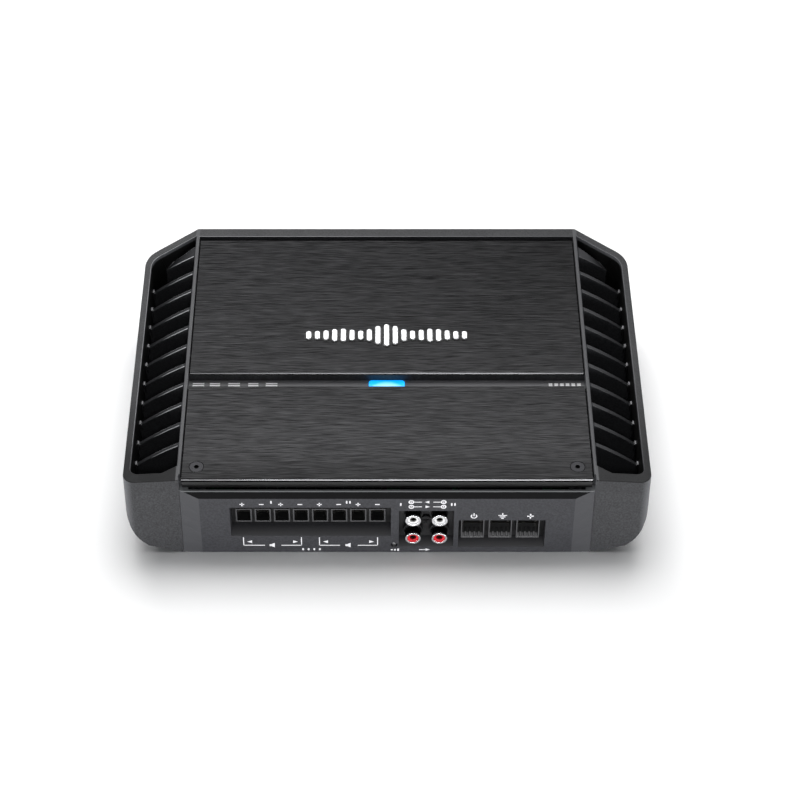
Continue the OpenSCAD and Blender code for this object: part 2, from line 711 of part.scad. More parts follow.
module potentiometer_bodies() color("steelblue") in_frame() for (i = [0:5])
    translate([knob_x(i), knob_y, control_board_z[1]]) difference() {
        union() {
            box([-4.8, -5.4, 0], [4.8, 5.4, 7]);
            cylinder(r = 3, h = 9);
        }
        translate([0, 0, 2.5]) cylinder(r = shaft_r + FIT, h = 10);
    }

module knob(i) color([0.12, 0.12, 0.12]) in_frame() translate([knob_x(i), knob_y, 0]) {
    difference() {
        translate([0, 0, knob_z[0]]) cylinder(r = knob_r, h = knob_z[1] - knob_z[0]);
        for (a = [0:24:336]) rotate(a + 12) translate([knob_r + 0.35, 0, knob_z[0] - 1])
            cylinder(r = 0.7, h = 10, $fn = 16);
        translate([-0.4, 0.8, knob_z[1] - 0.7]) cube([0.8, knob_r, 2]);
    }
    translate([0, 0, control_board_z[1] + 2.7])
        cylinder(r = shaft_r, h = knob_z[0] - control_board_z[1] - 2.6);
}

module switch_bodies() color("dimgray") in_frame() for (x = switch_x)
    translate([x, switch_y, control_board_z[1]]) difference() {
        box([-6.5, -3, 0], [6.5, 3, 6.4]);
        box([-4.4, -1.9, 1], [4.4, 1.9, 4.4]);
        box([-3.4, -1.2, 4], [3.4, 1.2, 8]);
    }

module slider(i) color("whitesmoke") in_frame() translate([switch_x[i], switch_y, control_board_z[1]]) {
    shift = i == 1 ? -2 : 0;
    box([shift - 2.1, -1.7, 1.3], [shift + 2.1, 1.7, 4.2]);
    box([shift - 1, -1, 4], [shift + 1, 1, 14]);
}

// ---------------------------------------------------------------- power parts inside

module ring(r_out, r_in, h) difference() {
    cylinder(r = r_out, h = h);
    translate([0, 0, -1]) cylinder(r = r_in, h = h + 2);
}

module power_transformer() color("sienna") in_frame() translate([48, 118, board_z[1]]) ring(24, 8, 24);

module storage_capacitors() color([0.1, 0.1, 0.14]) in_frame()
    for (x = [-78, -56, -34], y = [108, 132]) translate([x, y, board_z[1]]) cylinder(r = 9, h = 34);

module filter_inductors() color("saddlebrown") in_frame()
    for (x = [-72, -44, -16, 12]) translate([x, 172, board_z[1]]) ring(10, 4, 12);

module power_transistors() color([0.08, 0.08, 0.08]) in_frame() both_sides()
    for (y = transistor_pair_y, s = [-1, 1]) translate([wall_in - 0.1, y + s * 5.5, 0]) {
        box([-transistor[0], -transistor[1] / 2, transistor_z],
            [0, transistor[1] / 2, transistor_z + transistor[2]]);
        for (k = [-1:1]) box([-2.6, k * 2.54 - 0.4, board_z[1]], [-2, k * 2.54 + 0.4, transistor_z + 1]);
    }

module transistor_clamps() color("silver") in_frame() both_sides() for (y = transistor_pair_y)
    difference() {
        box([97.3, y - 10, 22], [100.3, y + 10, 38]);
        translate([96, y, 34.5]) rotate([0, 90, 0]) cylinder(r = 1.7, h = 6);
    }

// ---------------------------------------------------------------- nodes

heatsink_casting();
rear_top_plate();
control_cover();
control_cover_screws();
front_panel();
bottom_plate();
bottom_plate_screws();
badge();
status_light_pipe();
main_board();
m3_screws();
speaker_terminal_block();
power_terminal_block();
terminal_contact_bars();
phono_jack_housing();
phono_jack_shells();
phono_white_insulators();
phono_red_insulators();
phono_centre_contacts();
clip_light();
control_tray();
control_board();
potentiometer_bodies();
switch_bodies();
power_transformer();
storage_capacitors();
filter_inductors();
power_transistors();
transistor_clamps();
for (i = [0:5]) knob(i);
for (i = [0:2]) slider(i);
for (i = [0:speaker_poles - 1]) speaker_clamp_screw(i);
for (i = [0:speaker_poles - 1]) speaker_clamp_cage(i);
for (i = [0:power_poles - 1]) power_clamp_screw(i);
for (i = [0:power_poles - 1]) power_clamp_cage(i);
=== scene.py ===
"""Looks of the four-channel car amplifier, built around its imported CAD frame.

Lengths are metres in the row frame. MM turns the sizes that are given in millimetres into metres.
Places come from the CAD nodes' own boxes wherever a node is near. The few that no box gives repeat
the CAD's own measures, and stand together below.
"""

import math

import bmesh
import bpy
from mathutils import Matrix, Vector


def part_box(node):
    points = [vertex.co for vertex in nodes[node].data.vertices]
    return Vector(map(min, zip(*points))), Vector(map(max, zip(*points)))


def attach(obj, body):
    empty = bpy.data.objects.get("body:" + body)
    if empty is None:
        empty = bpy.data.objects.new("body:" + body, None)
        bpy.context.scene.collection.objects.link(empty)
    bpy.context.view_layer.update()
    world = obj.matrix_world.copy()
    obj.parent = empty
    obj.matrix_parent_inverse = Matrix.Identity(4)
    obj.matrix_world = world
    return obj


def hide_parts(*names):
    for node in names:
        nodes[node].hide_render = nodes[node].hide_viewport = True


MM = 0.001

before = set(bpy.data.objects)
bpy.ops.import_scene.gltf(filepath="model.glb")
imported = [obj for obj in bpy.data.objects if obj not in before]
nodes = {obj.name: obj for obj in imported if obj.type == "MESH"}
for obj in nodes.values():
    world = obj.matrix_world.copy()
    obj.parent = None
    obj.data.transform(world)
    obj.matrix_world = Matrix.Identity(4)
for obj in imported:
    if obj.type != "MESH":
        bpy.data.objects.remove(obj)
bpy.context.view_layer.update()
scene = bpy.context.scene

# ---------------------------------------------------------------- places in the CAD model


def middle(name):
    """The middle of a node's box: x, y and z."""
    return [(low + high) / 2 for low, high in zip(*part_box(name))]


casting_low, casting_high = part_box("heatsink_casting")
cover_low, cover_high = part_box("control_cover")
plate_low, plate_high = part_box("rear_top_plate")
panel_low, panel_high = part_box("front_panel")
power_low, power_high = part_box("power_terminal_block")
jack_low, jack_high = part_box("phono_jack_shells")

# Distances from the middle plane: where the panel's side bevels start, the narrow level rib beside
# the plates, the side bay, and the short level ends of its fins
PANEL_BEVEL = 98.6 * MM
RIB_INNER, RIB_OUTER = 108.2 * MM, 110.6 * MM
BAY_INNER = 111 * MM
FIN_END = 133.4 * MM

# Depths below the tops of the casting and the cover
LEDGE_DEPTH = 2 * MM
GROOVE_DEPTH = 6.2 * MM

# Heights
BAY_FLOOR, BAY_TOP = 5 * MM, 50 * MM
FIN_END_Z = 35 * MM
ENTRY_FLOOR = 8.85 * MM
TRAY_TOP = 43 * MM

# Distances between neighbours
SPEAKER_PITCH = 10.16 * MM
POWER_PITCH = 14.7 * MM
JACK_PITCH = 14 * MM
SWITCH_PITCH = 44 * MM
INDUCTOR_PITCH = 28 * MM

groove_floor = cover_high.z - GROOVE_DEPTH

# ---------------------------------------------------------------- camera, light and floor

camera_data = bpy.data.cameras.new("camera")
camera_data.lens = 103.2
camera_data.sensor_width = 36.0
camera_data.shift_x = 0.025
camera = bpy.data.objects.new("camera", camera_data)
camera.location = (-0.0037, -0.9102, 0.9304)
camera.rotation_euler = (math.radians(44.8), 0, 0)
scene.collection.objects.link(camera)
scene.camera = camera


def area_light(name, place, target, width, height, energy):
    """A soft rectangular light, aimed at a point."""
    data = bpy.data.lights.new(name, "AREA")
    data.shape = "RECTANGLE"
    data.size = width
    data.size_y = height
    data.energy = energy
    light = bpy.data.objects.new(name, data)
    light.location = place
    light.rotation_euler = (Vector(target) - Vector(place)).to_track_quat("-Z", "Y").to_euler()
    scene.collection.objects.link(light)
    return light


amplifier = (0, 0, 0.03)
area_light("light_top", (0.0, 0.95, 2.1), (0, 0.05, 0), 1.6, 1.3, 40)
area_light("light_rear", (-0.45, 1.7, 0.95), amplifier, 1.0, 0.8, 8)
object_lights = [
    area_light("light_front_strip", (0.0, -1.5, 0.15), amplifier, 1.6, 0.26, 22),
    area_light("light_camera_side", (0.1, -1.45, 1.4), amplifier, 0.4, 0.4, 6),
    area_light("light_left_strip", (-1.35, -0.25, 0.15), amplifier, 0.7, 0.26, 10),
    area_light("light_right_strip", (1.35, -0.25, 0.15), amplifier, 0.7, 0.26, 9),
]
floor_light = area_light("light_floor", (0.0, 0.7, 1.4), (0, 0.69, 0), 3.0, 2.2, 24)

# A dim studio, paler towards the horizon
world = bpy.data.worlds.new("world")
world.use_nodes = True
sky = world.node_tree
sky_height = sky.nodes.new("ShaderNodeSeparateXYZ")
sky_fade = sky.nodes.new("ShaderNodeMapRange")
for socket, value in (("From Min", 0.0), ("From Max", 0.65), ("To Min", 0.5), ("To Max", 0.05)):
    sky_fade.inputs[socket].default_value = value
sky.links.new(sky.nodes.new("ShaderNodeTexCoord").outputs["Generated"], sky_height.inputs["Vector"])
sky.links.new(sky_height.outputs["Z"], sky_fade.inputs["Value"])
sky.links.new(sky_fade.outputs["Result"], sky.nodes["Background"].inputs["Strength"])
sky.nodes["Background"].inputs["Color"].default_value = (0.93, 0.96, 1.0, 1)
scene.world = world
scene.view_settings.view_transform = "Standard"

# ---------------------------------------------------------------- material nodes

# Colours painted on parts of a surface: painted light, highlights and shade, apart from the jacks' dark
# joint
TINTS = {
    "shaded_top": (0.017, 0.017, 0.0178),
    "lit_outer_side": (0.1, 0.102, 0.11),
    "painted_rim_highlight": (0.12, 0.122, 0.13),
    "lit_level_top": (0.07, 0.071, 0.076),
    "lit_inner_edge": (0.5, 0.505, 0.52),
    "lit_rear_edge": (0.35, 0.355, 0.37),
    "shaded_front_bevel": (0.018, 0.018, 0.0185),
    "fin_end_highlight": (0.3, 0.3, 0.31),
    "gap": (0.002, 0.002, 0.002),
    "shaded_bay_wall": (0.003, 0.003, 0.003),
    "lit_fin_top": (0.065, 0.066, 0.07),
    "fin_edge_highlight": (0.6, 0.61, 0.63),
    "lit_panel_side": (0.043, 0.0438, 0.048),
    "lit_recess_floor": (0.12, 0.12, 0.125),
    "shaded_panel_band": (0.004, 0.004, 0.0045),
    "panel_highlight_line": (0.14, 0.145, 0.15),
    "painted_plate_shade": (0.004, 0.004, 0.004),
    "lit_cover_skirt": (0.07, 0.07, 0.071),
    "sleeve_rim_highlight": (0.055, 0.055, 0.058),
    "lit_sleeve_floor": (0.07, 0.07, 0.072),
    "lit_entry_lip": (0.35, 0.35, 0.36),
    "jack_joint": (0.05, 0.05, 0.05),
    "shaded_jack_bore": (0.006, 0.006, 0.006),
    "shaded_barrel": (0.03, 0.03, 0.032),
}


class Look:
    """A node material around one Principled shader, textured in the object's own coordinates.

    Its methods add nodes and give back the sockets that other nodes read. A mask is one on the part
    of the surface that it picks, and nought elsewhere.
    """

    def __init__(self, name, roughness, **constants):
        self.material = bpy.data.materials.new(name)
        self.material.use_nodes = True
        self.tree = self.material.node_tree
        self.shader = self.tree.nodes["Principled BSDF"]
        self.shader.inputs["Roughness"].default_value = roughness
        for socket, value in constants.items():
            self.shader.inputs[socket.replace("_", " ")].default_value = value
        self.place = self.add("ShaderNodeTexCoord").outputs["Object"]

    def add(self, kind, operation=None, **inputs):
        """A node with its inputs set or linked. An input is given by its name, or as _0 by its number."""
        node = self.tree.nodes.new(kind)
        if operation:
            node.operation = operation
        for name, value in inputs.items():
            key = int(name[1:]) if name[1:].isdigit() else name.replace("_", " ")
            if isinstance(value, bpy.types.NodeSocket):
                self.tree.links.new(value, node.inputs[key])
            else:
                node.inputs[key].default_value = value
        return node

    def calculate(self, operation, first, second):
        """ADD, SUBTRACT, MULTIPLY or DIVIDE of two numbers."""
        return self.add("ShaderNodeMath", operation, _0=first, _1=second).outputs[0]

    def absolute(self, value):
        return self.add("ShaderNodeMath", "ABSOLUTE", _0=value).outputs[0]

    def all_of(self, *masks):
        """The masks multiplied together."""
        product = masks[0]
        for mask in masks[1:]:
            product = self.calculate("MULTIPLY", product, mask)
        return product

    def noise(self, grain, stretch=(1, 1, 1), detail=3.0):
        """Noise with grains of that size in metres, drawn out along each axis by stretch."""
        scale = [1 / (grain * s) for s in stretch]
        mapped = self.add("ShaderNodeMapping", Vector=self.place, Scale=scale).outputs["Vector"]
        return self.add("ShaderNodeTexNoise", Vector=mapped, Scale=1.0, Detail=detail).outputs["Fac"]

    def ramp(self, factor, low, dark, high, light):
        """Colour that goes from dark where factor is low to light where it is high."""
        node = self.add("ShaderNodeValToRGB", Fac=factor)
        stops = zip(node.color_ramp.elements, (low, high), (dark, light))
        for element, position, colour in stops:
            element.position = position
            element.color = (*colour, 1)
        return node.outputs["Color"]

    def graded(self, value, low, high, start=0.0, end=1.0):
        """A number that goes from start to end while value goes from low to high."""
        return self.add("ShaderNodeMapRange", Value=value, From_Min=low, From_Max=high,
                        To_Min=start, To_Max=end).outputs["Result"]

    def spread(self, factor, low, high):
        """The factor's middle range, mapped to numbers from low to high."""
        return self.graded(factor, 0.3, 0.7, low, high)

    def pick(self, mask, outside, inside):
        """The number inside where mask is one, and outside elsewhere."""
        return self.graded(mask, 0, 1, outside, inside)

    def mix(self, mask, ground, paint):
        """Paint over ground where mask is one. Paint is a socket or a plain colour."""
        if isinstance(paint, tuple):
            paint = (*paint, 1)
        return self.add("ShaderNodeMixRGB", Fac=mask, Color1=ground, Color2=paint).outputs["Color"]

    def at(self, axis):
        """The surface's coordinate along that axis."""
        return self.add("ShaderNodeSeparateXYZ", Vector=self.place).outputs[axis]

    def off_middle(self):
        """The distance from the amplifier's middle plane, to either side."""
        return self.absolute(self.at("X"))

    def left_to_right(self, left, right, reach=10 * MM):
        """A number that goes from left to right within that reach of the middle plane."""
        return self.graded(self.at("X"), -reach, reach, left, right)

    def within(self, axis, low, high):
        """Mask of the surface between two coordinates."""
        return self.add("ShaderNodeMath", "COMPARE", _0=self.at(axis),
                        _1=(low + high) / 2, _2=(high - low) / 2).outputs[0]

    def facing(self, axis):
        """That component of the surface's normal, in the object's own directions."""
        normal = self.add("ShaderNodeTexCoord").outputs["Normal"]
        return self.add("ShaderNodeSeparateXYZ", Vector=normal).outputs[axis]

    def upward(self):
        """Mask of level faces."""
        return self.graded(self.facing("Z"), 0.85, 0.97)

    def tilt(self):
        """Nought on level and upright faces, and down to -0.5 on those that slope to the front."""
        return self.all_of(self.facing("Y"), self.facing("Z"))

    def tilted_forward(self):
        """Mask of faces that slope at about 45 degrees towards the front."""
        return self.graded(self.tilt(), -0.2, -0.42)

    def inward(self):
        """Below nought on faces that look towards the middle plane."""
        return self.all_of(self.facing("X"), self.at("X"))

    def to(self, socket, value):
        """Links a value to the shader."""
        self.tree.links.new(value, self.shader.inputs[socket])
        return self

    def bump(self, height, depth):
        node = self.add("ShaderNodeBump", Height=height, Distance=depth)
        return self.to("Normal", node.outputs["Normal"])


def shades(colour, change):
    """A darker and a paler shade, by that share of the colour."""
    return [c * (1 - change) for c in colour], [min(1, c * (1 + change)) for c in colour]


# ---------------------------------------------------------------- shading of the casting


def level_near_front(look):
    """Mask of the casting's level faces outside the ribs. It fades towards the rear and the right."""
    clear_of_ribs = look.graded(look.off_middle(), RIB_OUTER - 0.2 * MM, RIB_OUTER + 0.2 * MM)
    level = look.all_of(look.upward(), clear_of_ribs, look.left_to_right(1.0, 0.75, 100 * MM))
    front = look.graded(look.at("Y"), casting_low.y + 15 * MM, casting_low.y + 90 * MM, 1.0, 0.0)
    return look.all_of(level, front)


def plate_ledge(look):
    """Mask of the ledge round the two plates, painted near black as shade to show as a dark gap."""
    ledge = casting_high.z - LEDGE_DEPTH
    return look.all_of(look.upward(), look.within("Z", ledge - 0.3 * MM, ledge + 0.8 * MM))


def shaded_front_bevel(look):
    """Mask of the soft edge between the end caps' tops and their front faces."""
    edge = look.all_of(look.within("Z", casting_high.z - 8 * MM, casting_high.z + MM),
                       look.within("Y", casting_low.y - MM, casting_low.y + 12 * MM))
    return look.all_of(edge, look.graded(look.tilt(), -0.06, -0.2))


def casting_shine(look):
    """Less shine on the level faces near the front, hardly any on the bevel and none on the ledge."""
    front = look.pick(level_near_front(look), 0.32, 0.1)
    return look.all_of(front, look.pick(shaded_front_bevel(look), 1, 0.1), look.pick(plate_ledge(look), 1, 0))


def casting_shades(look, colours):
    """Painted light and shade: level faces darken towards the front, end caps are painted paler round
    their outer sides, and the top edges carry painted highlights."""
    colours = groove_strip(look, colours)
    # Painted shade on the level faces near the front
    colours = look.mix(level_near_front(look), colours, TINTS["shaded_top"])
    # Painted light on the end caps' outer upright sides
    outward = look.graded(look.absolute(look.facing("X")), 0.2, 1.0, 0.0, 0.8)
    upright = look.graded(look.absolute(look.facing("Z")), 0.3, 0.6, 1.0, 0.0)
    colours = look.mix(look.all_of(outward, upright), colours, TINTS["lit_outer_side"])

    # Painted highlights on the rims' rounded edges, least near the front
    level = look.all_of(look.facing("Z"), look.facing("Z"))
    rounded = look.all_of(level, look.pick(level, 1, 0))
    highlit_rim = look.all_of(look.graded(rounded, 0.1, 0.2, 0.0, 0.8),
                           look.within("Z", casting_high.z - MM, casting_high.z + MM),
                           look.graded(look.at("Y"), casting_low.y + 8 * MM, casting_low.y + 50 * MM,
                                       0.1, 1.0))
    colours = look.mix(highlit_rim, colours, TINTS["painted_rim_highlight"])
    # Painted highlight along the tops of the narrow level ribs
    ribs = look.all_of(look.upward(), look.all_of(
        look.graded(look.off_middle(), RIB_INNER, RIB_INNER + 0.2 * MM),
        look.graded(look.off_middle(), RIB_OUTER, RIB_OUTER - 0.2 * MM)))
    colours = look.mix(ribs, colours, TINTS["lit_level_top"])

    # The brightest painted highlights: on the edges inside the rims, and behind the plates
    inner_edge = look.all_of(highlit_rim, look.graded(look.inward(), -0.02, -0.05))
    inner_edge = look.all_of(inner_edge, look.left_to_right(1.0, 0.2))
    colours = look.mix(inner_edge, colours, TINTS["lit_inner_edge"])
    behind_plates = look.all_of(look.within("X", -BAY_INNER, BAY_INNER),
                                look.within("Y", plate_high.y, casting_high.y))
    rear_edge = look.all_of(look.all_of(highlit_rim, behind_plates),
                            look.graded(look.facing("Y"), -0.1, -0.3),
                            look.graded(look.at("X"), -60 * MM, 90 * MM, 1.0, 0.1))
    colours = look.mix(rear_edge, colours, TINTS["lit_rear_edge"])

    # Painted shade on the soft bevel along the end caps' front
    colours = look.mix(shaded_front_bevel(look), colours, TINTS["shaded_front_bevel"])
    colours = bay_shades(look, colours)
    # Painted highlights on the fins' short level ends
    fin_end_highlight = look.graded(look.off_middle(), FIN_END, FIN_END + 0.2 * MM)
    low_end = look.all_of(look.upward(), look.within("Z", FIN_END_Z - MM, FIN_END_Z + MM))
    colours = look.mix(look.all_of(fin_end_highlight, low_end), colours, TINTS["fin_end_highlight"])
    # The ledge is painted near black as shade
    return look.mix(plate_ledge(look), colours, TINTS["gap"])


def bay_shades(look, colours):
    """Painted shade and light in the two side bays: black walls, fins with pale tops on the right and
    bright edges on the left, and a pale wedge at the rear."""
    in_bay = look.all_of(look.graded(look.off_middle(), BAY_INNER, BAY_INNER + 0.3 * MM),
                         look.within("Z", BAY_FLOOR, BAY_TOP))
    # Painted shade: the bays' walls near black
    wall = look.all_of(look.graded(look.inward(), -0.01, -0.03),
                       look.graded(look.facing("Z"), 0.3, 0.1))
    colours = look.mix(look.all_of(in_bay, wall), colours, TINTS["shaded_bay_wall"])
    # Painted light on the fin tops, more on the right
    tops = look.all_of(in_bay, look.graded(look.facing("Z"), 0.5, 0.7),
                       look.graded(look.off_middle(), 131 * MM, 117 * MM),
                       look.left_to_right(0.25, 1))
    colours = look.mix(tops, colours, TINTS["lit_fin_top"])
    # Painted light on a level wedge at the rear
    wedge = look.all_of(look.upward(), look.within("Y", 80 * MM, 100 * MM))
    colours = look.mix(look.all_of(in_bay, wedge), colours, TINTS["lit_level_top"])
    # Painted highlights on the fins' edges, more on the left
    edges = look.all_of(in_bay, look.graded(look.absolute(look.tilt()), 0.08, 0.2),
                        look.graded(look.off_middle(), 126 * MM, 120 * MM),
                        look.left_to_right(1, 0.12))
    return look.mix(edges, colours, TINTS["fin_edge_highlight"])


def groove_strip(look, colours):
    """The floor of the groove between the plates is brushed like them, and painted paler as light."""
    across = look.all_of(look.within("X", -cover_high.x - MM, cover_high.x + MM),
                         look.within("Y", cover_high.y - MM, plate_low.y + MM))
    mask = look.all_of(look.within("Z", groove_floor - 0.3 * MM, groove_floor + 0.3 * MM), across)
    hairs = look.noise(0.35 * MM, stretch=(90, 1, 1), detail=4)
    return look.mix(mask, colours, look.ramp(hairs, 0.3, (0.11, 0.11, 0.115), 0.7, (0.2, 0.2, 0.21)))


# ---------------------------------------------------------------- shading of the other pieces


def panel_shine(look):
    """Less shine on the panel's sloping band."""
    return look.pick(look.tilted_forward(), 0.3, 0.09)


def panel_shades(look, colours):
    """The sloping band along the panel's top is painted nearly black as shade, under a painted highlight
    line. The side bevels are painted paler as light, and so are the floors of the connector recesses
    towards the front."""
    # Painted light on the side bevels
    side = look.graded(look.off_middle(), PANEL_BEVEL, PANEL_BEVEL + 0.3 * MM)
    colours = look.mix(side, colours, TINTS["lit_panel_side"])
    # Painted light on the recess floors, most near the front
    floors = look.all_of(look.upward(), look.within("Z", 3 * MM, 20 * MM))
    near = look.graded(look.at("Y"), panel_low.y + 8 * MM, panel_low.y + MM, 0.1, 1.0)
    colours = look.mix(look.all_of(floors, near), colours, TINTS["lit_recess_floor"])
    # Painted shade on the sloping band
    band = look.all_of(look.tilted_forward(),
                       look.within("Z", panel_high.z - 4.4 * MM, panel_high.z + MM))
    colours = look.mix(band, colours, TINTS["shaded_panel_band"])
    # Painted highlight line along the panel's top edge
    line = look.within("Z", panel_high.z - 0.35 * MM, panel_high.z + MM)
    return look.mix(line, colours, TINTS["panel_highlight_line"])


def plate_shades(look, colours, chamfer_colour):
    """The plates are painted with shade along the front and on their forward faces, with light on the
    cover's front skirt, and are paler metal along the tops of their front chamfers.
    """
    # Painted shade along the plates' front
    near_front = look.graded(look.at("Y"), cover_low.y, cover_low.y + 22 * MM, 0.5, 0.0)
    colours = look.mix(near_front, colours, TINTS["painted_plate_shade"])
    # Painted shade on the forward faces, and painted light on the cover's front skirt
    forward = look.graded(look.facing("Y"), -0.9, -0.98)
    colours = look.mix(forward, colours, TINTS["painted_plate_shade"])
    skirt = look.all_of(look.within("Z", 0, cover_high.z - 2 * MM),
                        look.within("Y", cover_low.y, cover_low.y + 2 * MM))
    colours = look.mix(look.all_of(forward, skirt), colours, TINTS["lit_cover_skirt"])
    # Paler metal along the tops of the front chamfers
    for low, high, share in ((cover_low, cover_high, 1.0), (plate_low, plate_high, 0.6)):
        edge = look.all_of(look.within("Y", low.y - 0.2 * MM, low.y + 1.2 * MM),
                           look.within("Z", high.z - MM, high.z - 0.45 * MM))
        chamfer_tint = tuple(c * share for c in chamfer_colour)
        colours = look.mix(look.all_of(look.tilted_forward(), edge), colours, chamfer_tint)
    return colours


def terminal_shades(look, colours):
    """Painted highlights on the wire sleeves' front rims, and painted light on the floors inside them."""
    forward = look.graded(look.facing("Y"), -0.5, -0.8)
    for block in ("speaker_terminal_block", "power_terminal_block"):
        rim_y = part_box(block)[0].y
        # Painted highlight on the block's front rims
        rim = look.all_of(forward, look.within("Y", rim_y - 0.25 * MM, rim_y + 0.25 * MM))
        colours = look.mix(rim, colours, TINTS["sleeve_rim_highlight"])
    # Painted light on the floors inside the sleeves
    floors = look.all_of(look.upward(), look.within("Z", 3 * MM, 12 * MM))
    colours = look.mix(floors, colours, TINTS["lit_sleeve_floor"])
    return lit_entry_lip(look, colours)


def lit_entry_lip(look, colours):
    """The floor just inside each power wire entry is painted paler as light."""
    lip = look.all_of(look.within("X", power_low.x, power_high.x), look.within("Z", 8.5 * MM, 10 * MM))
    near = look.graded(look.at("Y"), power_low.y + 3.6 * MM, power_low.y + 2.8 * MM)
    return look.mix(look.all_of(look.all_of(look.upward(), lip), near), colours, TINTS["lit_entry_lip"])


def jack_shades(look, colours):
    """A bore painted dark as shade, and a dark joint between each insulator and its barrel."""
    jack_x, _, jack_z = middle("phono_jack_shells")
    squares = []
    for axis, centre in (("X", jack_x), ("Z", jack_z)):
        away = look.absolute(look.calculate("SUBTRACT", look.at(axis), centre))
        off_axis = look.calculate("SUBTRACT", away, JACK_PITCH / 2)
        squares.append(look.all_of(off_axis, off_axis))
    radius_squared = look.calculate("ADD", *squares)
    barrel = (jack_high.x - jack_low.x) / 2 - JACK_PITCH / 2
    joint = look.graded(radius_squared, (barrel - 1.5 * MM) ** 2, (barrel - 1.4 * MM) ** 2)
    colours = look.mix(joint, colours, TINTS["jack_joint"])
    # Painted shade deep in the bores
    deep = look.graded(look.at("Y"), jack_low.y + 1.2 * MM, jack_low.y + 2.2 * MM)
    bore = look.all_of(look.graded(look.facing("Y"), -0.6, -0.3), deep)
    return look.mix(bore, colours, TINTS["shaded_jack_bore"])


def chrome_shades(look, colours):
    """The barrels are painted dark as shade behind their polished front rings."""
    behind = look.graded(look.at("Y"), jack_low.y + 0.9 * MM, jack_low.y + 1.3 * MM)
    return look.mix(behind, colours, TINTS["shaded_barrel"])


# ---------------------------------------------------------------- materials


def powder_coat(name, colour, roughness=0.5, speckle=0.6, depth=0.05 * MM, paint=None, shine=None):
    """Fine-textured powder coat: small pale grains over a slightly uneven ground. paint may recolour
    parts, and shine may dull some."""
    look = Look(name, roughness, Specular_IOR_Level=0.3)
    dark, light = shades(colour, speckle)
    colours = look.ramp(look.noise(0.9 * MM, detail=3), 0.33, dark, 0.67, light)
    look.to("Base Color", paint(look, colours) if paint else colours)
    if shine:
        look.to("Specular IOR Level", shine(look))
    look.to("Roughness", look.spread(look.noise(14 * MM), roughness - 0.05, roughness + 0.06))
    return look.bump(look.noise(0.5 * MM, detail=2), depth)


def brushed(name, colour, chamfer_colour, roughness, change=0.75):
    """Black anodised metal brushed along X, with paler metal along the tops of its front chamfers."""
    look = Look(name, roughness, Metallic=1.0, Specular_Tint=(0.1, 0.1, 0.1, 1))
    fine = look.noise(0.24 * MM, stretch=(40, 1, 1), detail=3)
    coarse = look.noise(0.9 * MM, stretch=(22, 1, 1), detail=2)
    dark, light = shades(colour, change)
    streaks = look.ramp(fine, 0.32, dark, 0.68, light)
    bands = look.ramp(coarse, 0.3, (0.82, 0.82, 0.82), 0.7, (1, 1, 1))
    layered = look.add("ShaderNodeMixRGB", Fac=1.0, Color1=streaks, Color2=bands)
    layered.blend_type = "MULTIPLY"
    look.to("Base Color", plate_shades(look, layered.outputs["Color"], chamfer_colour))
    sheen = look.noise(0.8 * MM, stretch=(60, 1, 1))
    look.to("Roughness", look.spread(sheen, roughness - 0.05, roughness + 0.06))
    return look.bump(fine, 0.006 * MM)


def moulded(name, colour, roughness=0.42, grain=0.3 * MM, depth=0.012 * MM, change=0.12, paint=None):
    """Moulded plastic with a faint skin grain and patches of slightly different gloss."""
    look = Look(name, roughness)
    dark, light = shades(colour, change)
    colours = look.ramp(look.noise(2.5 * MM), 0.3, dark, 0.7, light)
    look.to("Base Color", paint(look, colours) if paint else colours)
    look.to("Roughness", look.spread(look.noise(5 * MM), roughness - 0.05, roughness + 0.07))
    return look.bump(look.noise(grain, detail=2), depth)


def metal(name, colour, roughness, change=0.06, paint=None):
    """Bare or plated metal with faint tooling marks."""
    look = Look(name, roughness, Metallic=1.0)
    dark, light = shades(colour, change)
    colours = look.ramp(look.noise(3 * MM), 0.3, dark, 0.7, light)
    look.to("Base Color", paint(look, colours) if paint else colours)
    look.to("Roughness", look.spread(look.noise(1.5 * MM), roughness - 0.05, roughness + 0.05))
    return look.bump(look.noise(0.5 * MM, detail=2), 0.004 * MM)


def board_look():
    """Green solder mask with copper tracks showing through as paler lines."""
    look = Look("circuit_board", 0.32, Specular_IOR_Level=0.5)
    track = 5 * MM
    mapped = look.add("ShaderNodeMapping", Vector=look.place, Scale=(1 / track, 1 / track, 0))
    cells = look.add("ShaderNodeTexBrick", Vector=mapped.outputs["Vector"], Scale=1.0,
                     Mortar_Size=0.06).outputs["Fac"]
    look.to("Base Color", look.ramp(cells, 0.2, (0.006, 0.06, 0.028), 0.8, (0.03, 0.16, 0.07)))
    return look.bump(cells, 0.03 * MM)


def status_light_look():
    """Blue light pipe: deep blue at its ends, almost white at the middle of its front edge."""
    look = Look("status_light", 0.25, Emission_Strength=1.25)
    low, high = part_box("status_light_pipe")
    across = look.calculate("DIVIDE", look.at("X"), high.x)
    back = look.graded(look.at("Y"), low.y + 5.5 * MM, high.y, 0.0, 0.9)
    away = look.calculate("ADD", look.all_of(across, across), back)
    look.to("Emission Color", look.ramp(away, 0.0, (0.4, 0.82, 1.0), 0.75, (0.0, 0.36, 1.0)))
    look.to("Base Color", look.ramp(look.noise(2 * MM), 0.3, (0.02, 0.3, 0.7), 0.7, (0.03, 0.4, 0.85)))
    return look


